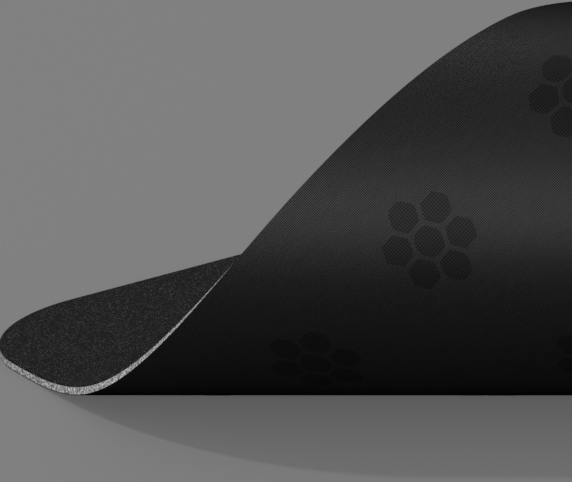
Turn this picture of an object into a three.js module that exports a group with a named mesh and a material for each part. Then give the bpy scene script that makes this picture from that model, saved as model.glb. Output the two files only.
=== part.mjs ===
// A soft mouse pad with its front left corner rolled up and over, in millimetres, +Z up.
// The pad is a laminate of four sheets that lie face to face. Its long side runs along X and its
// short side along Y. The sheet lies flat at the back and lifts off the desk in one round bend.

import * as THREE from 'three';

// Outline of the flat sheet
const padLength = 250;
const padWidth = 210;
const cornerRadius = 24;
const cornerSteps = 12;

// Thickness of each layer, from the desk up
const skinThickness = 0.2;
const foamThickness = 1.35;
const filmThickness = 0.05;
const clothThickness = 0.4;

// The rolled corner. The roll's axis is turned from the short side, and the sheet starts to lift
// at rollReach from the corner, measured square to that axis.
const rollTurn = THREE.MathUtils.degToRad(46);
const rollReach = 134.5;

// Bend radius of the underside at equal stations from the lifting line to the corner, as shares
// of the reach, so that a longer roll is a larger one of the same form. The bend grows from
// nothing at the lifting line, and changes evenly from station to station.
const bendRadiusShares = [0.22, 0.335, 0.245, 0.375, 0.25, 0.105];
const bendSteps = 44;
const arcSubsteps = 8;

// Two cuts across the roll are never closer than this share of a bend step
const leastCutShare = 0.12;

// Colour and finish of each layer
const skinFinish = { color: 0x232323, roughness: 0.62, metalness: 0 };
const foamFinish = { color: 0x8c8c8c, roughness: 0.95, metalness: 0 };
const filmFinish = { color: 0x4a4a4a, roughness: 0.5, metalness: 0 };
const clothFinish = { color: 0x262626, roughness: 0.9, metalness: 0 };

// Roll coordinates: along is measured on the roll's axis, and across is the distance on the flat
// sheet from the rear left corner towards the corner that is rolled up.
const shortSide = new THREE.Vector2(Math.cos(rollTurn), Math.sin(rollTurn));
const longSide = new THREE.Vector2(Math.sin(rollTurn), -Math.cos(rollTurn));
const rolledCorner = shortSide.clone().multiplyScalar(padWidth);
const liftLine = rolledCorner.y - rollReach;

// Outline of the sheet in roll coordinates, as a rounded rectangle whose corners are arcs
function sheetOutline() {
  const points = [];
  const corners = [
    [cornerRadius, cornerRadius, 2],
    [padLength - cornerRadius, cornerRadius, 3],
    [padLength - cornerRadius, padWidth - cornerRadius, 0],
    [cornerRadius, padWidth - cornerRadius, 1],
  ];
  for (const [alongLong, alongShort, quarter] of corners) {
    for (let step = 0; step <= cornerSteps; step += 1) {
      const angle = (quarter + step / cornerSteps) * (Math.PI / 2);
      const onLong = alongLong + cornerRadius * Math.cos(angle);
      const onShort = alongShort + cornerRadius * Math.sin(angle);
      points.push(longSide.clone().multiplyScalar(onLong).addScaledVector(shortSide, onShort));
    }
  }
  return points;
}

// Curvature of the underside at a distance past the lifting line
function bendAt(distance) {
  const bends = [0, ...bendRadiusShares.map((share) => 1 / (share * rollReach))];
  const place = (distance / rollReach) * bendRadiusShares.length;
  const station = Math.min(Math.floor(place), bendRadiusShares.length - 1);
  return THREE.MathUtils.lerp(bends[station], bends[station + 1], place - station);
}

// Follows the bend in short chords and gives the section at the cut: its reach forward, its
// height and its slope
function sectionAt(across) {
  const section = { forward: Math.min(across, liftLine), height: 0, slope: 0 };
  const bent = Math.max(0, across - liftLine);
  const chords = Math.ceil((bent / rollReach) * bendSteps) * arcSubsteps;
  for (let chord = 0; chord < chords; chord += 1) {
    const step = bent / chords;
    const half = (bendAt((chord + 1 / 2) * step) * step) / 2;
    section.forward += step * Math.cos(section.slope + half);
    section.height += step * Math.sin(section.slope + half);
    section.slope += 2 * half;
  }
  return section;
}

// Distances at which the sheet is cut across the roll: every point of the outline and every step
// of the bend, without those that would leave a sliver
function cutLines(outline) {
  const bendStep = rollReach / bendSteps;
  const least = bendStep * leastCutShare;
  const cuts = outline.map((point) => point.y).sort((a, b) => a - b);
  const last = cuts[cuts.length - 1];
  const kept = [cuts[0]];
  for (const cut of cuts) {
    if (cut - kept[kept.length - 1] > least && last - cut > least) kept.push(cut);
  }
  kept.push(last);
  for (let step = 0; step < bendSteps; step += 1) {
    const cut = liftLine + step * bendStep;
    const clear = kept.every((other) => Math.abs(other - cut) > least);
    if (clear && cut > kept[0] && cut < last) kept.push(cut);
  }
  return kept.sort((a, b) => a - b);
}

// Ends of a cut, where it meets the outline on its left and on its right
function cutEnds(outline, across) {
  const ends = [];
  outline.forEach((point, index) => {
    const next = outline[(index + 1) % outline.length];
    const low = Math.min(point.y, next.y);
    const high = Math.max(point.y, next.y);
    if (across < low || across > high) return;
    const share = high > low ? (across - point.y) / (next.y - point.y) : 0;
    ends.push(THREE.MathUtils.lerp(point.x, next.x, share));
  });
  return [Math.min(...ends), Math.max(...ends)];
}

// Centre of the flat pad in roll coordinates, which is the part's origin
const padCentre = rolledCorner.clone().addScaledVector(longSide, padLength).multiplyScalar(1 / 2);

// Turns a place on the section into the part's own axes: X along the long side, Y away from the
// rolled corner along the short side
function placed(along, section, height) {
  const forward = section.forward - height * Math.sin(section.slope) - padCentre.y;
  const rise = section.height + height * Math.cos(section.slope);
  const fromCentre = new THREE.Vector2(along - padCentre.x, forward);
  return [fromCentre.dot(longSide), -fromCentre.dot(shortSide), rise];
}

// One sheet of the laminate between two heights above the underside, as a closed body
function sheetGeometry(bottom, top) {
  const outline = sheetOutline();
  const cuts = cutLines(outline);
  const positions = [];
  const faces = [];
  const rows = cuts.map((across, row) => {
    const section = sectionAt(across);
    const [left, right] = cutEnds(outline, across);
    const pointed = row === 0 || row === cuts.length - 1;
    const alongs = pointed ? [(left + right) / 2] : [left, right];
    const rowStart = positions.length / 3;
    for (const along of alongs) {
      positions.push(...placed(along, section, bottom), ...placed(along, section, top));
    }
    const otherEnd = pointed ? rowStart : rowStart + 2;
    return { leftLow: rowStart, leftHigh: rowStart + 1, rightLow: otherEnd, rightHigh: otherEnd + 1 };
  });
  const quad = (a, b, c, d) => {
    if (a !== b && b !== c) faces.push(a, b, c);
    if (c !== d && d !== a) faces.push(a, c, d);
  };
  for (let row = 1; row < rows.length; row += 1) {
    const back = rows[row - 1];
    const front = rows[row];
    quad(front.leftHigh, front.rightHigh, back.rightHigh, back.leftHigh);
    quad(back.leftLow, back.rightLow, front.rightLow, front.leftLow);
    quad(back.leftHigh, back.leftLow, front.leftLow, front.leftHigh);
    quad(front.rightHigh, front.rightLow, back.rightLow, back.rightHigh);
  }
  const geometry = new THREE.BufferGeometry();
  geometry.setAttribute('position', new THREE.Float32BufferAttribute(positions, 3));
  geometry.setIndex(faces);
  geometry.computeVertexNormals();
  return geometry;
}

const layers = [
  { name: 'base_skin', thickness: skinThickness, finish: skinFinish },
  { name: 'foam_core', thickness: foamThickness, finish: foamFinish },
  { name: 'bond_film', thickness: filmThickness, finish: filmFinish },
  { name: 'cloth_top', thickness: clothThickness, finish: clothFinish },
];

const mousePad = new THREE.Group();
let level = 0;
for (const layer of layers) {
  const geometry = sheetGeometry(level, level + layer.thickness);
  const mesh = new THREE.Mesh(geometry, new THREE.MeshStandardMaterial(layer.finish));
  mesh.name = layer.name;
  mousePad.add(mesh);
  level += layer.thickness;
}

export default mousePad;
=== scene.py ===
"""The looks of a soft mouse pad that lies on a desk with its front left corner rolled up and over.

The pad is a laminate cut out with one die: a black cloth face, a film of hot-melt adhesive, a grey
foam rubber core and a black moulded base skin with grip patches. Every sheet is cut and worked
flat, and then bent by one rule, so that the sheets stay face to face all round the roll. Lengths
are in metres, and angles in degrees unless a name says otherwise.
"""

import logging
import math
from dataclasses import dataclass, field
from enum import Enum
from typing import Callable

import bmesh
import bpy
import numpy as np
from mathutils import Matrix, Vector, noise


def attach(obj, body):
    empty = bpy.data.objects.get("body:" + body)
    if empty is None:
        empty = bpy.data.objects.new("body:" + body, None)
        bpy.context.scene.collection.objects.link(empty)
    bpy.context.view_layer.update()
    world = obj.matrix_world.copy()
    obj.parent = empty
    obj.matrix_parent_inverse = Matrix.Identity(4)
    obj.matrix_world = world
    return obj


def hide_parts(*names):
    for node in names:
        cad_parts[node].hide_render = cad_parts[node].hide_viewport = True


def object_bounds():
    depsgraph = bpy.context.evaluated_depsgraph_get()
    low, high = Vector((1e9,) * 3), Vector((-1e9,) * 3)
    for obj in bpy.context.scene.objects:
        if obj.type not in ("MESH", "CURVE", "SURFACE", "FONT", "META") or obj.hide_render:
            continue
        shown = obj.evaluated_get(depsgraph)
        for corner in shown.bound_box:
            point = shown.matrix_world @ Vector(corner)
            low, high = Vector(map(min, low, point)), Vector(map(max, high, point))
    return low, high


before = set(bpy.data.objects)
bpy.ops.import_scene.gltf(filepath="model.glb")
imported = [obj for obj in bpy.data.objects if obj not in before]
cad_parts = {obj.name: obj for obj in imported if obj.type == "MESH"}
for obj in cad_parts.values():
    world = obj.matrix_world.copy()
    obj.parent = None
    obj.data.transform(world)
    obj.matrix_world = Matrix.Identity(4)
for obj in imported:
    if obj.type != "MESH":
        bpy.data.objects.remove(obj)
cad_low, cad_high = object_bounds()

log = logging.getLogger("mouse_pad")

MM = 0.001
BODY = "root"

# Name of the UV map that holds a point's place on the flat sheet, in metres
FLAT_MAP = "flat"

# Profile of a bevel that rounds evenly, and how many steps a small rounded edge has
ROUND_PROFILE = 0.5
ROUND_STEPS = 2

# A face of a flat piece is part of its side if its normal rises by less than this
SIDE_RISE = 0.5

# How far off its level an edge may lie, as a share of the radius that rounds it
LEVEL_SHARE = 0.1

# Span that holds nearly all values of a noise texture, and its middle
NOISE_SPAN = (0.3, 0.7)
NOISE_MIDDLE = 0.5

Socket = bpy.types.NodeSocket
Scalar = Socket | float


class Rim(Enum):
    """Which edges of a sheet's cut rim are slightly rounded."""

    SHARP = "sharp"
    ROUND_ABOVE = "round above"
    ROUND_BELOW = "round below"


class Axis(Enum):
    """Directions of the two sets of score lines on the flat sheet."""

    ACROSS_ROLL = "across the roll"
    ALONG_ROLL = "along the roll"


# Help with edit mode


def pick_only(obj: bpy.types.Object) -> None:
    """Makes an object the active one and the only one selected.

    Args:
        obj: The object to pick.
    """
    bpy.ops.object.select_all(action="DESELECT")
    obj.select_set(True)
    bpy.context.view_layer.objects.active = obj


def select_edges(obj: bpy.types.Object, wanted: Callable[[bmesh.types.BMEdge], bool]) -> int:
    """Selects edges in edit mode.

    Args:
        obj: The object in edit mode.
        wanted: Says whether an edge is to be selected.

    Returns:
        How many edges were selected.
    """
    bpy.ops.mesh.select_mode(type="EDGE")
    bpy.ops.mesh.select_all(action="DESELECT")
    work = bmesh.from_edit_mesh(obj.data)
    chosen = [edge for edge in work.edges if wanted(edge)]
    for edge in chosen:
        edge.select = True
    bmesh.update_edit_mesh(obj.data)
    return len(chosen)


def round_corners(radius: float, segments: int) -> None:
    """Rounds all corners of the flat face in edit mode.

    Args:
        radius: Radius of the corners.
        segments: How many edges a corner gets.
    """
    bpy.ops.mesh.select_all(action="SELECT")
    bpy.ops.mesh.bevel(offset=radius, segments=segments, profile=ROUND_PROFILE, affect="VERTICES")


def round_edges(obj: bpy.types.Object, level: float, radius: float) -> None:
    """Rounds the edges between the side of a flat piece and its face at one level.

    Args:
        obj: The object in edit mode.
        level: Height of the face.
        radius: Radius of the edges.
    """

    def at_level(edge: bmesh.types.BMEdge) -> bool:
        """Says whether an edge runs between the side and the face at the level."""
        level_there = all(abs(end.co.z - level) <= radius * LEVEL_SHARE for end in edge.verts)
        return level_there and any(abs(face.normal.z) < SIDE_RISE for face in edge.link_faces)

    select_edges(obj, at_level)
    bpy.ops.mesh.bevel(offset=radius, segments=ROUND_STEPS, affect="EDGES")


def close_up() -> None:
    """Turns all faces of the object in edit mode outward and leaves edit mode."""
    bpy.ops.mesh.select_all(action="SELECT")
    bpy.ops.mesh.normals_make_consistent(inside=False)
    bpy.ops.object.mode_set(mode="OBJECT")


# Help with whole meshes


def copy_of(source: bpy.types.Object, name: str) -> bpy.types.Object:
    """Copies an object with a mesh of its own.

    Args:
        source: The object to copy.
        name: Name of the copy.

    Returns:
        The copy, linked into the scene.
    """
    copy = source.copy()
    copy.data = source.data.copy()
    copy.name = name
    copy.data.name = name
    bpy.context.collection.objects.link(copy)
    return copy


def remove(obj: bpy.types.Object) -> None:
    """Takes a working object and its mesh out of the scene.

    Args:
        obj: The object to remove.
    """
    mesh = obj.data
    bpy.data.objects.remove(obj)
    bpy.data.meshes.remove(mesh)


def points_of(obj: bpy.types.Object) -> np.ndarray:
    """Reads the vertices of a mesh object.

    Args:
        obj: The object, in object mode.

    Returns:
        Rows of X, Y and Z.
    """
    places = np.empty(len(obj.data.vertices) * 3)
    obj.data.vertices.foreach_get("co", places)
    return places.reshape(-1, 3)


def move_points(obj: bpy.types.Object, places: np.ndarray) -> None:
    """Writes the vertices of a mesh object.

    Args:
        obj: The object, in object mode.
        places: Rows of X, Y and Z.
    """
    obj.data.vertices.foreach_set("co", places.ravel())
    obj.data.update()


# The form of the pad


@dataclass(frozen=True)
class Roll:
    """The bend of the pad, as one round roll on a straight axis that lies askew to its edges.

    A point of the flat sheet is given by its distance along the roll's axis and across it. Across
    is counted from the rear left corner of the sheet towards the corner that is rolled up.
    """

    length: float
    width: float
    turn: float = 46.0
    reach: float = 134.5 * MM
    bend_radius_shares: tuple[float, ...] = (0.22, 0.335, 0.245, 0.375, 0.25, 0.105)
    trace_steps: int = 12000

    @property
    def short_side(self) -> np.ndarray:
        """Direction of the pad's short side in roll coordinates."""
        return np.array([math.cos(math.radians(self.turn)), math.sin(math.radians(self.turn))])

    @property
    def long_side(self) -> np.ndarray:
        """Direction of the pad's long side in roll coordinates."""
        return np.array([math.sin(math.radians(self.turn)), -math.cos(math.radians(self.turn))])

    @property
    def centre(self) -> np.ndarray:
        """Middle of the flat pad in roll coordinates."""
        return (self.short_side * self.width + self.long_side * self.length) / 2

    @property
    def lift_line(self) -> float:
        """Distance across at which the sheet leaves the desk."""
        return float(self.short_side[1]) * self.width - self.reach

    def score_normal(self, axis: Axis) -> Vector:
        """Direction in which the distance named by the axis grows, on the flat pad.

        Args:
            axis: The distance that is meant.

        Returns:
            A unit vector in the pad's own axes.
        """
        row = 1 if axis is Axis.ACROSS_ROLL else 0
        return Vector((self.long_side[row], -self.short_side[row], 0))

    def to_roll(self, flat: np.ndarray) -> np.ndarray:
        """Turns places on the flat pad into roll coordinates.

        Args:
            flat: Rows of X and Y from the middle of the pad.

        Returns:
            Rows of the distances along and across.
        """
        return self.centre + np.outer(flat[:, 0], self.long_side) - np.outer(flat[:, 1], self.short_side)

    def trace(self) -> tuple[np.ndarray, np.ndarray, np.ndarray, np.ndarray]:
        """Follows the underside from the lifting line to the end of the reach.

        Returns:
            Distances past the lifting line, and the way forward, the height and the slope there.
        """
        past = np.linspace(0, self.reach, self.trace_steps + 1)
        stations = np.linspace(0, self.reach, len(self.bend_radius_shares) + 1)
        bends = [0.0] + [1 / (share * self.reach) for share in self.bend_radius_shares]
        step = past[1]
        turned = np.interp((past[1:] + past[:-1]) / 2, stations, bends) * step
        slope = np.concatenate([[0], np.cumsum(turned)])
        middle = slope[:-1] + turned / 2
        forward = np.concatenate([[0], np.cumsum(np.cos(middle) * step)])
        height = np.concatenate([[0], np.cumsum(np.sin(middle) * step)])
        return past, forward, height, slope

    def bend(self, points: np.ndarray) -> np.ndarray:
        """Bends points of the flat laminate.

        Args:
            points: Rows of X and Y on the flat pad and the height above its underside.

        Returns:
            Rows of the same points on the rolled pad.
        """
        along, across = self.to_roll(points[:, :2]).T
        past, ways, heights, slopes = self.trace()
        bent = np.clip(across - self.lift_line, 0, self.reach)
        slope = np.interp(bent, past, slopes)
        forward = np.minimum(across, self.lift_line) + np.interp(bent, past, ways)
        forward = forward - points[:, 2] * np.sin(slope)
        rise = np.interp(bent, past, heights) + points[:, 2] * np.cos(slope)
        from_centre = np.column_stack([along, forward]) - self.centre
        return np.column_stack([from_centre @ self.long_side, -(from_centre @ self.short_side), rise])


@dataclass(frozen=True)
class Blank:
    """The die-cut outline that all sheets share, scored with lines so that it can be bent."""

    roll: Roll
    corner_radius: float = 24 * MM
    corner_segments: int = 24
    bend_spacing: float = 0.65 * MM
    wide_spacing: float = 8 * MM
    score_threshold: float = 0.01 * MM

    def lines(self, axis: Axis) -> list[float]:
        """Distances of the score lines.

        Args:
            axis: The set of lines.

        Returns:
            Distances in roll coordinates.
        """
        corner = np.array([[self.roll.length, self.roll.width]]) / 2
        mirrored = np.array([[1, 1], [1, -1], [-1, 1], [-1, -1]]) * corner
        column = 1 if axis is Axis.ACROSS_ROLL else 0
        reached = self.roll.to_roll(mirrored)[:, column]
        if axis is Axis.ALONG_ROLL:
            return list(np.arange(reached.min(), reached.max(), self.wide_spacing)[1:])
        flat = np.arange(self.roll.lift_line, reached.min(), -self.wide_spacing)
        bent = np.arange(self.roll.lift_line, reached.max(), self.bend_spacing)
        return list(flat) + list(bent[1:])

    def score(self, obj: bpy.types.Object, axis: Axis) -> None:
        """Cuts the score lines into a flat mesh in edit mode.

        Args:
            obj: The object in edit mode. It is not used.
            axis: The set of lines to cut.
        """
        normal = self.roll.score_normal(axis)
        column = 1 if axis is Axis.ACROSS_ROLL else 0
        middle = self.roll.centre[column]
        for line in self.lines(axis):
            bpy.ops.mesh.select_all(action="SELECT")
            bpy.ops.mesh.bisect(
                plane_co=normal * (line - middle),
                plane_no=normal,
                threshold=self.score_threshold,
            )

    def cut(self) -> bpy.types.Object:
        """Cuts the flat blank out of a plane.

        Returns:
            The blank, with round corners and both sets of score lines.
        """
        bpy.ops.object.select_all(action="DESELECT")
        bpy.ops.mesh.primitive_plane_add(size=1, location=(0, 0, 0))
        blank = bpy.context.object
        blank.name = "blank"
        blank.scale = (self.roll.length, self.roll.width, 1)
        bpy.ops.object.transform_apply(location=False, rotation=False, scale=True)
        bpy.ops.object.mode_set(mode="EDIT")
        round_corners(self.corner_radius, self.corner_segments)
        self.score(blank, Axis.ACROSS_ROLL)
        self.score(blank, Axis.ALONG_ROLL)
        bpy.ops.object.mode_set(mode="OBJECT")
        return blank

    def map_flat(self, piece: bpy.types.Object) -> None:
        """Stores each point's place on the flat sheet in the UV map, from the front left corner.

        Args:
            piece: The flat piece, in object mode.
        """
        layer = piece.data.uv_layers.new(name=FLAT_MAP)
        loops = np.empty(len(piece.data.loops), dtype=int)
        piece.data.loops.foreach_get("vertex_index", loops)
        flat = points_of(piece)[loops, :2] + np.array([self.roll.length, self.roll.width]) / 2
        layer.data.foreach_set("uv", flat.ravel())

    def bend(self, piece: bpy.types.Object, smooth_angle: float) -> None:
        """Bends a flat piece round the roll and smooths its shading.

        Args:
            piece: The flat piece, in object mode.
            smooth_angle: Steepest angle between two faces that are shaded as one.
        """
        move_points(piece, self.roll.bend(points_of(piece)))
        pick_only(piece)
        bpy.ops.object.shade_smooth_by_angle(angle=math.radians(smooth_angle))


# Shader nodes


class NodeDesk:
    """Adds nodes to one node tree and wires them as they are added."""

    def __init__(self, tree: bpy.types.NodeTree) -> None:
        """Starts with an empty tree.

        Args:
            tree: The tree of a material, a world or a node group.
        """
        self.tree = tree
        self.tree.nodes.clear()

    def add(self, kind: str, inputs: dict[str | int, object], **settings: object) -> bpy.types.Node:
        """Adds a node.

        Args:
            kind: The node's type name.
            inputs: A socket to link or a value to set, by the input's name or number.
            settings: Properties of the node.

        Returns:
            The node.
        """
        node = self.tree.nodes.new(kind)
        for name, value in settings.items():
            setattr(node, name, value)
        for key, value in inputs.items():
            if isinstance(value, Socket):
                self.tree.links.new(value, node.inputs[key])
            else:
                node.inputs[key].default_value = value
        return node

    def math(self, operation: str, first: Scalar, second: Scalar = 0.0) -> Socket:
        """Adds a Math node.

        Args:
            operation: The node's operation.
            first: Its first input.
            second: Its second input.

        Returns:
            The result.
        """
        return self.add("ShaderNodeMath", {0: first, 1: second}, operation=operation).outputs[0]

    def scaled(self, place: Socket, factor: Scalar) -> Socket:
        """Multiplies a place by a factor.

        Args:
            place: A vector.
            factor: What to multiply it by.

        Returns:
            The longer or shorter vector.
        """
        node = self.add("ShaderNodeVectorMath", {0: place, "Scale": factor}, operation="SCALE")
        return node.outputs["Vector"]

    def split(self, place: Socket) -> tuple[Socket, Socket]:
        """Takes a place apart.

        Args:
            place: A vector.

        Returns:
            Its X and Y.
        """
        parts = self.add("ShaderNodeSeparateXYZ", {0: place}).outputs
        return parts[0], parts[1]

    def ranged(self, value: Socket, low: Scalar, high: Scalar, span: tuple = (0.0, 1.0)) -> Socket:
        """Maps a value from one span to another, and keeps it within.

        Args:
            value: The value to map.
            low: What the low end becomes.
            high: What the high end becomes.
            span: The low and the high end.

        Returns:
            The mapped value.
        """
        inputs = {"Value": value, "From Min": span[0], "From Max": span[1], "To Min": low, "To Max": high}
        return self.add("ShaderNodeMapRange", inputs, clamp=True).outputs["Result"]

    def between(self, share: Scalar, first: Scalar, second: Scalar) -> Socket:
        """Mixes two values.

        Args:
            share: 0 for the first value, 1 for the second.
            first: The first value.
            second: The second value.

        Returns:
            The mix.
        """
        return self.add("ShaderNodeMix", {0: share, 2: first, 3: second}, data_type="FLOAT").outputs[0]


def new_group(name: str, takes: dict[str, float | None], gives: tuple[str, ...]) -> bpy.types.NodeTree:
    """Makes an empty node group with its sockets.

    Args:
        name: Name of the group.
        takes: Default value of each input by its name, or None for a vector.
        gives: Names of the outputs, which are all values.

    Returns:
        The group.
    """
    group = bpy.data.node_groups.new(name, "ShaderNodeTree")
    for label, value in takes.items():
        kind = "NodeSocketVector" if value is None else "NodeSocketFloat"
        socket = group.interface.new_socket(name=label, in_out="INPUT", socket_type=kind)
        if value is not None:
            socket.default_value = value
    for label in gives:
        group.interface.new_socket(name=label, in_out="OUTPUT", socket_type="NodeSocketFloat")
    return group


def woven_threads() -> bpy.types.NodeTree:
    """Makes the plain weave: threads that cross and pass over and under each other.

    Returns:
        A group that takes a place, a count of threads per metre, how much of its height a thread
        keeps where it dips, how steep its sides are, how far the lengthwise threads lead and how
        many threads a slub runs past, and gives the height of the weave and the uneven thickness
        of the lengthwise threads, both from 0 to 1.
    """
    takes = {
        "Place": None,
        "Threads": 3000.0,
        "Dip": 0.25,
        "Steepness": 0.6,
        "Lead": 0.0,
        "Slub Length": 14.0,
    }
    group = new_group("woven_threads", takes, ("Height", "Slub"))
    desk = NodeDesk(group)
    given = desk.add("NodeGroupInput", {}).outputs
    across, along = desk.split(desk.scaled(given["Place"], given["Threads"]))
    crowns = []
    for way in (across, along):
        crowns.append(desk.math("SINE", desk.math("MULTIPLY", desk.math("FRACT", way), math.pi)))
    cells = desk.math("ADD", desk.math("FLOOR", across), desk.math("FLOOR", along))
    over = desk.math("FLOORED_MODULO", cells, 2.0)
    passes = []
    for thread, other in (crowns, crowns[::-1]):
        dipped = desk.between(given["Dip"], 1.0, other)
        passes.append(desk.math("MULTIPLY", desk.math("POWER", thread, given["Steepness"]), dipped))
    height = desk.between(given["Lead"], desk.between(over, *passes), crowns[0])
    stretched = desk.math("DIVIDE", along, given["Slub Length"])
    thread_place = desk.add("ShaderNodeCombineXYZ", {0: desk.math("FLOOR", across), 1: stretched})
    slub = desk.add("ShaderNodeTexNoise", {"Vector": thread_place.outputs[0], "Scale": 1.0, "Detail": 1.0})
    uneven = desk.ranged(slub.outputs[0], 0.0, 1.0, NOISE_SPAN)
    desk.add("NodeGroupOutput", {"Height": height, "Slub": uneven})
    return group


def open_mesh() -> bpy.types.NodeTree:
    """Makes the cross-hatch of the grip patches: thin ribs with small square pits between them.

    Returns:
        A group that takes a place, a count of ribs per metre and half a rib's width as a share
        of their pitch, and gives the ribs from 0 to 1.
    """
    group = new_group("open_mesh", {"Place": None, "Ribs": 1500.0, "Width": 0.3}, ("Rib",))
    desk = NodeDesk(group)
    given = desk.add("NodeGroupInput", {}).outputs
    across, along = desk.split(desk.scaled(given["Place"], given["Ribs"]))
    ribs = []
    for way in (across, along):
        off_rib = desk.math("ABSOLUTE", desk.math("SUBTRACT", desk.math("FRACT", way), 0.5))
        ribs.append(desk.math("SUBTRACT", 1.0, desk.math("DIVIDE", off_rib, given["Width"])))
    rib = desk.math("MAXIMUM", desk.math("MAXIMUM", *ribs), 0.0)
    desk.add("NodeGroupOutput", {"Rib": rib})
    return group


def loose_grain() -> bpy.types.NodeTree:
    """Makes an even grain without direction, as of crumbs, fibres or dust.

    Returns:
        A group that takes a place, the size of a grain in metres, how sharply the grains stand out
        and the size of a slow drift, and gives the grain and the drift from 0 to 1.
    """
    takes = {"Place": None, "Size": 0.0002, "Sharpness": 1.0, "Drift Size": 0.02}
    plain_contrast = 3.0
    group = new_group("loose_grain", takes, ("Grain", "Drift"))
    desk = NodeDesk(group)
    given = desk.add("NodeGroupInput", {}).outputs
    place = desk.scaled(given["Place"], desk.math("DIVIDE", 1.0, given["Size"]))
    fine = desk.add("ShaderNodeTexNoise", {"Vector": place, "Scale": 1.0, "Detail": 2.0, "Roughness": 0.7})
    centred = desk.math("SUBTRACT", fine.outputs[0], NOISE_MIDDLE)
    contrast = desk.math("MULTIPLY", given["Sharpness"], plain_contrast)
    sharp = desk.math("ADD", desk.math("MULTIPLY", centred, contrast), NOISE_MIDDLE)
    grain = desk.math("MINIMUM", desk.math("MAXIMUM", sharp, 0.0), 1.0)
    wide = desk.scaled(given["Place"], desk.math("DIVIDE", 1.0, given["Drift Size"]))
    slow = desk.add("ShaderNodeTexNoise", {"Vector": wide, "Scale": 1.0, "Detail": 3.0, "Roughness": 0.5})
    drift = desk.ranged(slow.outputs[0], 0.0, 1.0, NOISE_SPAN)
    desk.add("NodeGroupOutput", {"Grain": grain, "Drift": drift})
    return group


def scattered_crumbs() -> bpy.types.NodeTree:
    """Makes crumbs that lie side by side, some of which stand out as round flecks.

    Returns:
        A group that takes a place, the size of a crumb in metres, the share of crumbs that hold a
        fleck and the fleck's width, and gives each crumb's own tone and its fleck, from 0 to 1.
    """
    takes = {"Place": None, "Size": 0.0004, "Share": 0.3, "Width": 0.5}
    soft_edge = (0.6, 1.0)
    faint_ranks = (0.0, 0.7)
    group = new_group("scattered_crumbs", takes, ("Tone", "Fleck"))
    desk = NodeDesk(group)
    given = desk.add("NodeGroupInput", {}).outputs
    place = desk.scaled(given["Place"], desk.math("DIVIDE", 1.0, given["Size"]))
    cells = desk.add("ShaderNodeTexVoronoi", {"Vector": place, "Scale": 1.0}).outputs
    tone, second = desk.split(cells["Color"])
    from_middle = desk.math("DIVIDE", cells["Distance"], given["Width"])
    round_dot = desk.ranged(from_middle, 1.0, 0.0, soft_edge)
    past_plain = desk.math("SUBTRACT", second, desk.math("SUBTRACT", 1.0, given["Share"]))
    rank = desk.math("DIVIDE", past_plain, given["Share"])
    fleck = desk.math("MULTIPLY", round_dot, desk.ranged(rank, 0.0, 1.0, faint_ranks))
    desk.add("NodeGroupOutput", {"Tone": tone, "Fleck": fleck})
    return group


@dataclass
class EffectShelf:
    """The effects that several finishes share, each built once."""

    groups: dict[str, bpy.types.NodeTree] = field(default_factory=dict)

    def __post_init__(self) -> None:
        """Builds the groups."""
        for build in (woven_threads, open_mesh, loose_grain, scattered_crumbs):
            group = build()
            self.groups[group.name] = group

    def place_in(self, desk: NodeDesk, name: str, inputs: dict[str, object]) -> bpy.types.Node:
        """Places an effect in a material.

        Args:
            desk: The material's desk.
            name: Name of the effect.
            inputs: Its inputs.

        Returns:
            The group's node.
        """
        return desk.add("ShaderNodeGroup", inputs, node_tree=self.groups[name])


def new_material(name: str) -> tuple[bpy.types.Material, NodeDesk]:
    """Makes an empty material.

    Args:
        name: Name of the material.

    Returns:
        The material and the desk for its nodes.
    """
    material = bpy.data.materials.new(name)
    material.use_nodes = True
    return material, NodeDesk(material.node_tree)


def flat_place(desk: NodeDesk) -> Socket:
    """Gives a point's place on the flat sheet.

    Args:
        desk: The material's desk.

    Returns:
        The place in metres.
    """
    return desk.add("ShaderNodeUVMap", {}, uv_map=FLAT_MAP).outputs["UV"]


def object_place(desk: NodeDesk) -> Socket:
    """Gives a point's place in the part.

    Args:
        desk: The material's desk.

    Returns:
        The place in metres.
    """
    return desk.add("ShaderNodeTexCoord", {}).outputs["Object"]


def raised(desk: NodeDesk, height: Socket, relief: float) -> Socket:
    """Turns a height into a surface normal.

    Args:
        desk: The material's desk.
        height: Height from 0 to 1.
        relief: Real height of 1, in metres.

    Returns:
        The normal.
    """
    return desk.add("ShaderNodeBump", {"Height": height, "Distance": relief}).outputs["Normal"]


def shaded_gloss(desk: NodeDesk, gloss: float, fade: tuple[float, float]) -> Socket:
    """Gives a gloss that goes out where a rough relief, seen flat, hides its own shine.

    Args:
        desk: The material's desk.
        gloss: Gloss where the surface is seen square on.
        fade: How far the surface is turned away where the gloss begins to fade and where it is out.

    Returns:
        The gloss.
    """
    turned = desk.add("ShaderNodeLayerWeight", {"Blend": 0.5}).outputs["Facing"]
    return desk.ranged(turned, gloss, 0.0, fade)


def finish_surface(desk: NodeDesk, inputs: dict[str, object]) -> None:
    """Adds the surface shader and the output.

    Args:
        desk: The material's desk.
        inputs: Inputs of the Principled BSDF.
    """
    shader = desk.add("ShaderNodeBsdfPrincipled", inputs)
    desk.add("ShaderNodeOutputMaterial", {"Surface": shader.outputs[0]})


# Finishes


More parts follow.
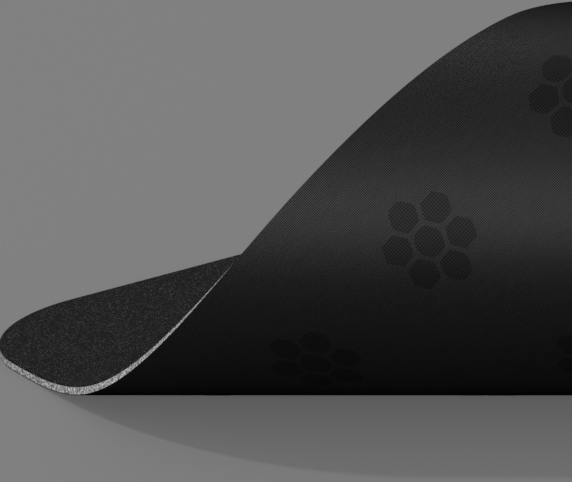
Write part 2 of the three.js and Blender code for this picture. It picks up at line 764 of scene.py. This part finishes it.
@dataclass(frozen=True)
class BaseRubber:
    """Black base rubber with the fine imprint of the woven cloth that it was pressed against, the imprint's
    hollows painted darker than its crowns as painted shade.
    """

    # The first two colours are the imprint's hollows and crowns; the far darker hollows are painted shade.
    valley_shade: float = 0.0004
    crown: float = 0.004
    roughness: float = 0.8
    specular: float = 0.0
    gloss: float = 1.0
    gloss_roughness: float = 0.55
    gloss_fade: tuple[float, float] = (0.28, 0.9)
    crown_span: tuple[float, float] = (0.4, 0.8)
    thread_pitch: float = 0.345 * MM
    thread_steepness: float = 1.0
    thread_lead: float = 0.05
    slub: float = 0.15
    relief: float = 0.2 * MM
    mottle_size: float = 30 * MM
    mottle: float = 0.12

    def material(self, effects: EffectShelf) -> bpy.types.Material:
        """Builds the material.

        Args:
            effects: The shared effects.

        Returns:
            The material.
        """
        material, desk = new_material("base_rubber_imprint")
        place = flat_place(desk)
        weave_inputs = {
            "Place": place,
            "Threads": 1 / self.thread_pitch,
            "Steepness": self.thread_steepness,
            "Lead": self.thread_lead,
        }
        weave = effects.place_in(desk, "woven_threads", weave_inputs)
        grain_inputs = {"Place": place, "Size": self.thread_pitch, "Drift Size": self.mottle_size}
        grain = effects.place_in(desk, "loose_grain", grain_inputs)
        high = desk.ranged(weave.outputs["Height"], 0.0, 1.0, self.crown_span)
        # Painted shade: the base colour is painted darker in the weave's hollows and lighter on its crowns.
        lit = desk.ranged(high, self.valley_shade, self.crown)
        uneven = desk.ranged(grain.outputs["Drift"], 1 - self.mottle, 1 + self.mottle)
        worn = desk.ranged(weave.outputs["Slub"], 1 - self.slub, 1.0)
        gloss = desk.math("MULTIPLY", worn, shaded_gloss(desk, self.gloss, self.gloss_fade))
        finish_surface(desk, {
            "Base Color": desk.math("MULTIPLY", lit, uneven),
            "Roughness": self.roughness,
            "Specular IOR Level": self.specular,
            "Coat Weight": desk.math("MULTIPLY", high, gloss),
            "Coat Roughness": self.gloss_roughness,
            "Normal": raised(desk, weave.outputs["Height"], self.relief),
        })
        return material


@dataclass(frozen=True)
class PatchRubber:
    """The same rubber in the grip patches, moulded as a coarser open mesh whose pits are painted darker
    than its ribs, as painted shade.
    """

    # The first two colours are the pits and the ribs; the darker pits are painted shade.
    pit_shade: float = 0.0004
    rib: float = 0.007
    roughness: float = 0.85
    specular: float = 0.0
    gloss: float = 0.5
    pit_gloss_share: float = 0.4
    gloss_roughness: float = 0.55
    gloss_fade: tuple[float, float] = (0.28, 0.9)
    rib_pitch: float = 0.52 * MM
    rib_width_share: float = 0.2
    grain_size_share: float = 2.0
    wear: tuple[float, float] = (0.7, 1.2)
    relief: float = 0.09 * MM

    def material(self, effects: EffectShelf) -> bpy.types.Material:
        """Builds the material.

        Args:
            effects: The shared effects.

        Returns:
            The material.
        """
        material, desk = new_material("grip_patch_mesh")
        place = flat_place(desk)
        mesh_inputs = {"Place": place, "Ribs": 1 / self.rib_pitch, "Width": self.rib_width_share}
        mesh = effects.place_in(desk, "open_mesh", mesh_inputs)
        grain_inputs = {"Place": place, "Size": self.rib_pitch * self.grain_size_share}
        grain = effects.place_in(desk, "loose_grain", grain_inputs)
        # Painted shade: the pits between the ribs are painted darker than the ribs.
        lit = desk.ranged(mesh.outputs["Rib"], self.pit_shade, self.rib)
        uneven = desk.ranged(grain.outputs["Grain"], *self.wear)
        shine = desk.ranged(mesh.outputs["Rib"], self.pit_gloss_share, 1.0)
        gloss = shaded_gloss(desk, self.gloss, self.gloss_fade)
        finish_surface(desk, {
            "Base Color": desk.math("MULTIPLY", lit, uneven),
            "Roughness": self.roughness,
            "Specular IOR Level": self.specular,
            "Coat Weight": desk.math("MULTIPLY", shine, gloss),
            "Coat Roughness": self.gloss_roughness,
            "Normal": raised(desk, mesh.outputs["Rib"], self.relief),
        })
        return material


@dataclass(frozen=True)
class CutFoam:
    """Light grey foam rubber, cut through, with light cell walls and dark pores, whose darkness is painted
    shade inside the open cells.
    """

    name: str = "cut_foam"
    # Colour of the pores, painted dark as the shade inside the open cells.
    pore_shade: float = 0.015
    cell_dark: float = 0.07
    cell_light: float = 0.56
    cell_size: float = 0.29 * MM
    pore_share: float = 0.46
    pore_width: float = 0.6
    roughness: float = 0.92
    specular: float = 0.2
    relief: float = 0.04 * MM

    def material(self, effects: EffectShelf) -> bpy.types.Material:
        """Builds the material.

        Args:
            effects: The shared effects.

        Returns:
            The material.
        """
        material, desk = new_material(self.name)
        inputs = {
            "Place": object_place(desk),
            "Size": self.cell_size,
            "Share": self.pore_share,
            "Width": self.pore_width,
        }
        crumbs = effects.place_in(desk, "scattered_crumbs", inputs)
        walls = desk.ranged(crumbs.outputs["Tone"], self.cell_dark, self.cell_light)
        finish_surface(desk, {
            # Painted shade: the pores are painted dark where the shade inside the cut cells would fall.
            "Base Color": desk.between(crumbs.outputs["Fleck"], walls, self.pore_shade),
            "Roughness": self.roughness,
            "Specular IOR Level": self.specular,
            "Normal": raised(desk, crumbs.outputs["Tone"], self.relief),
        })
        return material


@dataclass(frozen=True)
class BlackCloth:
    """Black polyester micro-weave, painted darker in its low parts partly as shade between the threads, and
    with fine grey flecks painted into its colour as glints where single fibres would catch the light.
    """

    # The first two colours are the weave's low parts and its thread tops; the darker low parts are partly
    # painted shade between the threads.
    ground: float = 0.0015
    thread: float = 0.009
    # Colour of the flecks, which are painted glints of single fibres.
    fleck: float = 0.118
    glint_size: float = 0.23 * MM
    glint_share: float = 0.27
    glint_width: float = 0.55
    roughness: float = 0.95
    specular: float = 0.1
    sheen: float = 0.01
    thread_pitch: float = 0.42 * MM
    grain_size: float = 0.28 * MM
    grain_sharpness: float = 1.8
    fray: float = 0.6
    relief: float = 0.04 * MM

    def material(self, effects: EffectShelf) -> bpy.types.Material:
        """Builds the material.

        Args:
            effects: The shared effects.

        Returns:
            The material.
        """
        material, desk = new_material("black_micro_weave")
        place = flat_place(desk)
        weave = effects.place_in(desk, "woven_threads", {"Place": place, "Threads": 1 / self.thread_pitch})
        grain_inputs = {"Place": place, "Size": self.grain_size, "Sharpness": self.grain_sharpness}
        grain = effects.place_in(desk, "loose_grain", grain_inputs)
        glint_inputs = {
            "Place": place,
            "Size": self.glint_size,
            "Share": self.glint_share,
            "Width": self.glint_width,
        }
        flecks = effects.place_in(desk, "scattered_crumbs", glint_inputs)
        fibres = desk.between(self.fray, weave.outputs["Height"], grain.outputs["Grain"])
        # Partly painted shade: the weave's low parts are painted darker, mixed with random fibre tone.
        woven = desk.ranged(fibres, self.ground, self.thread)
        finish_surface(desk, {
            # Painted highlight: the flecks lighten the base colour as glints of single fibres.
            "Base Color": desk.between(flecks.outputs["Fleck"], woven, self.fleck),
            "Roughness": self.roughness,
            "Specular IOR Level": self.specular,
            "Sheen Weight": self.sheen,
            "Normal": raised(desk, fibres, self.relief),
        })
        return material


@dataclass(frozen=True)
class MeltFilm:
    """Dark hot-melt adhesive, squeezed out a little unevenly at the cut."""

    thin: float = 0.03
    thick: float = 0.09
    blot_size: float = 0.9 * MM
    roughness: float = 0.45
    relief: float = 0.02 * MM

    def material(self, effects: EffectShelf) -> bpy.types.Material:
        """Builds the material.

        Args:
            effects: The shared effects.

        Returns:
            The material.
        """
        material, desk = new_material("melt_film")
        grain = effects.place_in(desk, "loose_grain", {"Place": object_place(desk), "Size": self.blot_size})
        finish_surface(desk, {
            "Base Color": desk.ranged(grain.outputs["Grain"], self.thin, self.thick),
            "Roughness": self.roughness,
            "Normal": raised(desk, grain.outputs["Grain"], self.relief),
        })
        return material


Finish = BaseRubber | PatchRubber | CutFoam | BlackCloth | MeltFilm


# The sheets of the laminate


@dataclass(frozen=True)
class Sheet:
    """One sheet of the laminate, between two heights above the pad's underside."""

    name: str
    node: str
    slot: str
    bottom: float
    top: float
    finish: Finish
    rim: Rim = Rim.SHARP
    rim_radius: float = 0.05 * MM
    rim_spacing: float = 0.5 * MM
    rim_rows: int = 1
    ragged: float = 0.02 * MM
    ragged_size: float = 0.7 * MM
    ragged_reach_share: float = 1.5
    smooth_angle: float = 20.0
    rim_finish: Finish | None = None

    def build(self, blank: Blank, flat: bpy.types.Object) -> bpy.types.Object:
        """Cuts, thickens and bends the sheet.

        Args:
            blank: The die-cut outline.
            flat: The blank's object, which is copied.

        Returns:
            The finished sheet.
        """
        piece = copy_of(flat, self.name)
        pick_only(piece)
        bpy.ops.object.mode_set(mode="EDIT")
        self.divide_rim(piece)
        self.thicken(piece)
        if self.rim is not Rim.SHARP:
            round_edges(piece, self.top if self.rim is Rim.ROUND_ABOVE else self.bottom, self.rim_radius)
        close_up()
        blank.map_flat(piece)
        for face in piece.data.polygons:
            face.material_index = int(abs(face.normal.z) < SIDE_RISE)
        self.roughen_rim(piece, blank)
        blank.bend(piece, self.smooth_angle)
        return piece

    def divide_rim(self, piece: bpy.types.Object) -> None:
        """Divides the edges of the cut until none is longer than the rim's spacing.

        Args:
            piece: The flat sheet in edit mode.
        """
        while select_edges(piece, lambda edge: edge.is_boundary and edge.calc_length() > self.rim_spacing):
            bpy.ops.mesh.subdivide(number_cuts=1)

    def thicken(self, piece: bpy.types.Object) -> None:
        """Raises the flat sheet to its thickness, in as many rows as its rim has.

        Args:
            piece: The flat sheet in edit mode. It is not used.
        """
        bpy.ops.mesh.select_all(action="SELECT")
        bpy.ops.transform.translate(value=(0, 0, self.bottom))
        row = (self.top - self.bottom) / self.rim_rows
        for _ in range(self.rim_rows):
            bpy.ops.mesh.extrude_region_move(TRANSFORM_OT_translate={"value": (0, 0, row)})

    def roughen_rim(self, piece: bpy.types.Object, blank: Blank) -> None:
        """Moves the points of the cut rim in and out by a little, as a die leaves them.

        Args:
            piece: The flat sheet in object mode.
            blank: The die-cut outline.
        """
        places = points_of(piece)
        half = np.array([blank.roll.length, blank.roll.width]) / 2 - blank.corner_radius
        from_corner = np.abs(places[:, :2]) - half
        beyond = np.maximum(from_corner, 0)
        in_corner = (from_corner > 0).all(axis=1)
        distance = np.where(in_corner, np.linalg.norm(beyond, axis=1), from_corner.max(axis=1))
        reach = self.rim_radius * self.ragged_reach_share
        on_rim = np.flatnonzero(distance > blank.corner_radius - reach)
        for index in on_rim:
            outward = np.sign(places[index, :2]) * beyond[index]
            outward /= max(np.linalg.norm(outward), self.rim_radius)
            push = noise.noise(Vector(places[index] / self.ragged_size)) * self.ragged
            places[index, :2] -= outward * (abs(push) + push)
        move_points(piece, places)

    def dress(self, piece: bpy.types.Object, effects: EffectShelf) -> None:
        """Gives the sheet its material and its place in the frame.

        Args:
            piece: The finished sheet.
            effects: The shared effects.
        """
        piece.data.materials.clear()
        face_material = self.finish.material(effects)
        piece.data.materials.append(face_material)
        rim = self.rim_finish
        piece.data.materials.append(rim.material(effects) if rim else face_material)
        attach(piece, BODY)
        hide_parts(self.node)
        log.info("%s: %d faces, stands for %s", self.name, len(piece.data.polygons), self.node)


@dataclass(frozen=True)
class GripPatches:
    """Clusters of small hexagons of coarser mesh, moulded in straight rows on the underside."""

    name: str = "grip_patches"
    slot: str = "base_rubber"
    sides: int = 6
    cell_flats: float = 5.6 * MM
    cell_pitch: float = 6.6 * MM
    corner_round: float = 0.6 * MM
    corner_segments: int = 3
    pitch: float = 40 * MM
    columns: int = 6
    rows: int = 5
    depth: float = 0.08 * MM
    edge_round: float = 0.02 * MM
    smooth_angle: float = 20.0
    finish: PatchRubber = PatchRubber()

    def places(self) -> list[tuple[float, float]]:
        """Lists the middles of all cells: one in the middle of each cluster and one at each flat.

        Returns:
            X and Y of each cell.
        """
        cluster = [(0.0, 0.0)]
        for side in range(self.sides):
            angle = math.tau * side / self.sides
            cluster.append((self.cell_pitch * math.cos(angle), self.cell_pitch * math.sin(angle)))
        middles = []
        for column in range(self.columns):
            for row in range(self.rows):
                middle_x = (column - (self.columns - 1) / 2) * self.pitch
                middle_y = (row - (self.rows - 1) / 2) * self.pitch
                middles += [(middle_x + x, middle_y + y) for x, y in cluster]
        return middles

    def model_one(self) -> bpy.types.Object:
        """Models one flat cell in the middle of the pad.

        Returns:
            The cell.
        """
        bpy.ops.object.select_all(action="DESELECT")
        radius = self.cell_flats / 2 / math.cos(math.pi / self.sides)
        bpy.ops.mesh.primitive_circle_add(vertices=self.sides, radius=radius, fill_type="NGON")
        patch = bpy.context.object
        patch.name = "patch"
        bpy.ops.object.mode_set(mode="EDIT")
        round_corners(self.corner_round, self.corner_segments)
        bpy.ops.object.mode_set(mode="OBJECT")
        return patch

    def build(self, blank: Blank) -> bpy.types.Object:
        """Sets out the patches, scores, thickens and bends them.

        Args:
            blank: The die-cut outline.

        Returns:
            All patches as one piece.
        """
        patch = self.model_one()
        copies = []
        for index, (x, y) in enumerate(self.places()):
            copy = copy_of(patch, f"patch_{index}")
            copy.data.transform(Matrix.Translation((x, y, 0)))
            copies.append(copy)
        remove(patch)
        pick_only(copies[0])
        for copy in copies:
            copy.select_set(True)
        bpy.ops.object.join()
        piece = copies[0]
        piece.name = self.name
        piece.data.name = self.name
        bpy.ops.object.mode_set(mode="EDIT")
        blank.score(piece, Axis.ACROSS_ROLL)
        bpy.ops.mesh.select_all(action="SELECT")
        bpy.ops.mesh.extrude_region_move(TRANSFORM_OT_translate={"value": (0, 0, self.depth)})
        round_edges(piece, 0.0, self.edge_round)
        close_up()
        blank.map_flat(piece)
        blank.bend(piece, self.smooth_angle)
        return piece

    def dress(self, piece: bpy.types.Object, effects: EffectShelf) -> None:
        """Gives the patches their material and their place in the frame.

        Args:
            piece: The finished patches.
            effects: The shared effects.
        """
        piece.data.materials.clear()
        piece.data.materials.append(self.finish.material(effects))
        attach(piece, BODY)
        log.info("%s: %d cells, %d faces", self.name, len(self.places()), len(piece.data.polygons))


@dataclass(frozen=True)
class MousePad:
    """The whole laminate."""

    skin: float = 0.2 * MM
    foam: float = 1.35 * MM
    film: float = 0.05 * MM
    cloth: float = 0.4 * MM
    patch_relief: float = 0.04 * MM

    def sheets(self) -> list[Sheet]:
        """Lists the sheets from the desk up.

        Returns:
            The four sheets.
        """
        over_skin = self.skin
        over_foam = over_skin + self.foam
        over_film = over_foam + self.film
        over_cloth = over_film + self.cloth
        return [
            Sheet(
                "base_sheet", "base_skin", "base_rubber", self.patch_relief, over_skin,
                BaseRubber(), rim=Rim.ROUND_BELOW,
                rim_finish=CutFoam(name="cut_skin", cell_dark=0.006, cell_light=0.09),
            ),
            Sheet(
                "foam_sheet", "foam_core", "foam_rubber", over_skin, over_foam, CutFoam(),
                rim_spacing=0.26 * MM, rim_rows=7, ragged=0.05 * MM, ragged_size=0.3 * MM, smooth_angle=50,
            ),
            Sheet("bond_layer", "bond_film", "adhesive", over_foam, over_film, MeltFilm()),
            Sheet(
                "cloth_face", "cloth_top", "black_cloth", over_film, over_cloth, BlackCloth(),
                rim=Rim.ROUND_ABOVE,
            ),
        ]

    def build(self, effects: EffectShelf) -> None:
        """Builds and dresses every piece.

        Args:
            effects: The shared effects.
        """
        size = cad_high - cad_low
        blank = Blank(Roll(length=size.x, width=size.y))
        flat = blank.cut()
        for sheet in self.sheets():
            piece = sheet.build(blank, flat)
            sheet.dress(piece, effects)
        remove(flat)
        patches = GripPatches()
        patches.dress(patches.build(blank), effects)


# The studio


@dataclass(frozen=True)
class Lamp:
    """A soft square lamp that looks at one point.

    At a level of 1 a white face that is turned straight to the lamp is shown as white.
    """

    name: str
    azimuth: float
    elevation: float
    distance: float
    side: float
    level: float

    def hang(self, aim: Vector) -> None:
        """Hangs the lamp.

        Args:
            aim: The point that it looks at.
        """
        bpy.ops.object.light_add(type="AREA")
        lamp = bpy.context.object
        lamp.name = self.name
        back = direction(self.azimuth, self.elevation)
        lamp.location = aim + back * self.distance
        lamp.rotation_euler = back.to_track_quat("Z", "Y").to_euler()
        lamp.data.size = self.side
        lamp.data.energy = self.level * math.pi**2 * self.distance**2


def direction(azimuth: float, elevation: float) -> Vector:
    """Gives the direction from the object to a place round it.

    Args:
        azimuth: 0 for a place in front of the object, at -Y, and 90 for one at its right, at +X.
        elevation: Angle above the horizon.

    Returns:
        A unit vector.
    """
    turn, tilt = math.radians(azimuth), math.radians(elevation)
    return Vector((math.sin(turn) * math.cos(tilt), -math.cos(turn) * math.cos(tilt), math.sin(tilt)))


@dataclass(frozen=True)
class LongLens:
    """The camera at the photograph's viewing angle, far off with a long lens."""

    azimuth: float = -24.1
    elevation: float = 18.636
    roll: float = -6.778
    distance: float = 2.99064
    lens_mm: float = 1000.0
    sensor_mm: float = 36.0
    aim: tuple[float, float, float] = (-0.086234, 0.033804, 0.028495)
    clip: tuple[float, float] = (0.1, 50.0)

    def stand(self) -> None:
        """Makes the camera and sets it as the scene's."""
        bpy.ops.object.camera_add()
        camera = bpy.context.object
        camera.name = "photo_camera"
        back = direction(self.azimuth, self.elevation)
        level = direction(self.azimuth + 90, 0)
        upright = back.cross(level)
        turn = math.radians(self.roll)
        right = level * math.cos(turn) + upright * math.sin(turn)
        up = upright * math.cos(turn) - level * math.sin(turn)
        camera.matrix_world = Matrix.Translation(Vector(self.aim) + back * self.distance) @ Matrix(
            (right, up, back)
        ).transposed().to_4x4()
        camera.data.lens = self.lens_mm
        camera.data.sensor_width = self.sensor_mm
        camera.data.clip_start, camera.data.clip_end = self.clip
        bpy.context.scene.camera = camera


@dataclass(frozen=True)
class Studio:
    """A plain pale floor under plain soft light."""

    floor_side: float = 30.0
    floor_drop: float = 0.02 * MM
    floor_pale: float = 0.173
    floor_glow: float = 0.08
    floor_dark: float = 0.06
    backdrop: float = 0.48
    surround: float = 0.44
    lamps: tuple[Lamp, ...] = (
        Lamp("rear_lamp", azimuth=-160, elevation=56, distance=6.4, side=0.3, level=0.25),
        Lamp("front_lamp", azimuth=-64, elevation=11, distance=6.4, side=3.4, level=0.79),
    )

    def lay_floor(self) -> None:
        """Lays the floor, which looks pale but throws little light up at the object.

        A part of its tone is a glow that only the camera and mirrors see, which keeps the
        object's shadow as light as under the evenly lit ground of a studio.
        """
        bpy.ops.object.select_all(action="DESELECT")
        bpy.ops.mesh.primitive_plane_add(size=self.floor_side, location=(0, 0, -self.floor_drop))
        floor = bpy.context.object
        floor.name = "floor"
        material, desk = new_material("pale_floor")
        seen = self.seen(desk)
        glow = desk.between(seen, 0.0, self.floor_glow)
        finish_surface(desk, {
            "Base Color": desk.between(seen, self.floor_dark, self.floor_pale),
            "Roughness": 1.0,
            "Specular IOR Level": 0.0,
            "Emission Color": glow,
            "Emission Strength": 1.0,
        })
        floor.data.materials.append(material)

    def seen(self, desk: NodeDesk) -> Socket:
        """Tells the rays that show the floor or the backdrop from those that light the object.

        Args:
            desk: Desk of the floor's or the world's nodes.

        Returns:
            1 for camera, glossy and transmission rays, and 0 for others.
        """
        rays = desk.add("ShaderNodeLightPath", {}).outputs
        mirrored = desk.math("MAXIMUM", rays["Is Glossy Ray"], rays["Is Transmission Ray"])
        return desk.math("MAXIMUM", rays["Is Camera Ray"], mirrored)

    def light(self) -> None:
        """Sets the even light of the surroundings and hangs the lamps."""
        world = bpy.data.worlds.new("surroundings")
        world.use_nodes = True
        desk = NodeDesk(world.node_tree)
        tone = desk.between(self.seen(desk), self.surround, self.backdrop)
        sky = desk.add("ShaderNodeBackground", {"Color": tone, "Strength": 1.0})
        desk.add("ShaderNodeOutputWorld", {"Surface": sky.outputs[0]})
        bpy.context.scene.world = world
        middle = (cad_low + cad_high) / 2
        for lamp in self.lamps:
            lamp.hang(middle)

    def set_up(self) -> None:
        """Sets up the floor, the light, the camera and the view."""
        self.lay_floor()
        self.light()
        LongLens().stand()
        bpy.context.scene.view_settings.view_transform = "Standard"
        log.info("studio: floor, %d lamps and camera", len(self.lamps))


def main() -> None:
    """Builds the pad and the studio round it."""
    logging.basicConfig(level=logging.INFO, format="%(name)s: %(message)s")
    Studio().set_up()
    MousePad().build(EffectShelf())


if __name__ == "__main__":
    main()
